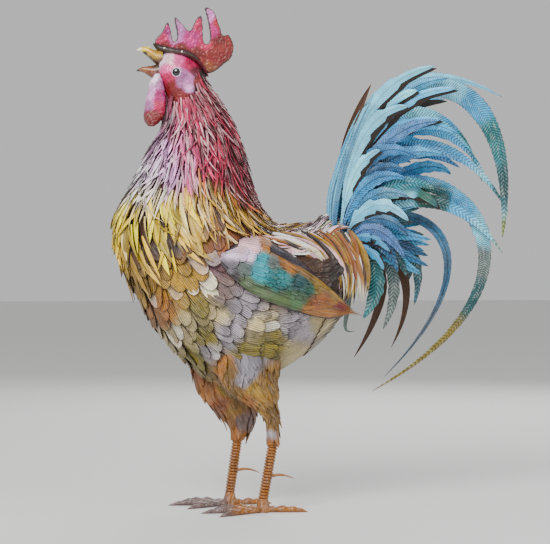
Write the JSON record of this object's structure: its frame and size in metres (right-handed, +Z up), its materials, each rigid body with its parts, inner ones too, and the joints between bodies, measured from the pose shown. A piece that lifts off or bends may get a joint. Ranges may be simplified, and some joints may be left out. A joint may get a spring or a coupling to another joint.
{
  "type": "metal rooster statue",
  "caption": "Standing crowing rooster statue of painted sheet steel, with layered hackle and breast feathers and a fanned, drooping tail.",
  "frame": {"origin": "on the ground, under the middle of the statue's length and width", "axes": "+Z up, the rooster faces -X with its left side to -Y"},
  "size_m": [0.5943, 0.252, 0.7492],
  "materials": {
    "crimson_enamel": "hand-painted satin enamel, crimson to pink",
    "yellow_enamel": "hand-painted satin enamel, golden yellow",
    "cream_enamel": "hand-painted satin enamel, cream and lilac washes",
    "red_enamel": "hammered sheet, red and pink satin enamel",
    "ochre_enamel": "satin enamel, ochre with brown edges",
    "turquoise_enamel": "hand-painted satin enamel, turquoise with orange and lilac",
    "rust_enamel": "satin enamel, rust brown",
    "copper_enamel": "satin enamel, copper brown",
    "blue_enamel": "hand-painted satin enamel, pale blue to teal",
    "bare_steel": "dark brown lacquered steel",
    "black_enamel": "gloss black enamel"
  },
  "bodies": {
    "root": {"body": "cream_enamel", "breast_row_1": "cream_enamel", "breast_row_2": "cream_enamel", "breast_row_3": "cream_enamel", "breast_row_4": "cream_enamel", "breast_row_5": "cream_enamel", "comb": "red_enamel", "hackle_row_1": "crimson_enamel", "hackle_row_2": "crimson_enamel", "hackle_row_3": "crimson_enamel", "hackle_row_4": "yellow_enamel", "hackle_row_5": "yellow_enamel", "hackle_row_6": "yellow_enamel", "head": "red_enamel", "left_ear_lobe": "red_enamel", "left_eye": "black_enamel", "left_foot": "copper_enamel", "left_rump_row": "yellow_enamel", "left_shank": "copper_enamel", "left_spur": "copper_enamel", "left_thigh": "rust_enamel", "left_wattle": "red_enamel", "left_wing": "turquoise_enamel", "lower_beak": "ochre_enamel", "right_ear_lobe": "red_enamel", "right_eye": "black_enamel", "right_foot": "copper_enamel", "right_rump_row": "yellow_enamel", "right_shank": "copper_enamel", "right_spur": "copper_enamel", "right_thigh": "rust_enamel", "right_wattle": "red_enamel", "right_wing": "turquoise_enamel", "saddle_row_1": "crimson_enamel", "saddle_row_2": "crimson_enamel", "tail_blue_sickle": "blue_enamel", "tail_covert_front": "blue_enamel", "tail_covert_lower": "blue_enamel", "tail_covert_middle": "blue_enamel", "tail_covert_upper": "blue_enamel", "tail_crown_streamer": "blue_enamel", "tail_curl": "bare_steel", "tail_dark_blade": "bare_steel", "tail_dark_sickle": "bare_steel", "tail_fan": "blue_enamel", "tail_fern": "blue_enamel", "tail_first_sickle": "bare_steel", "tail_front_blade": "bare_steel", "tail_great_sickle": "blue_enamel", "tail_long_sickle": "blue_enamel", "tail_middle_sickle": "bare_steel", "tail_olive_sickle": "blue_enamel", "tail_rear_covert": "bare_steel", "tail_rear_hanger": "bare_steel", "tail_rear_sickle": "bare_steel", "tail_second_sickle": "bare_steel", "tail_serrated": "blue_enamel", "tail_teal_sickle": "blue_enamel", "tail_thin_sickle": "bare_steel", "upper_beak": "ochre_enamel"}
  },
  "joints": []
}
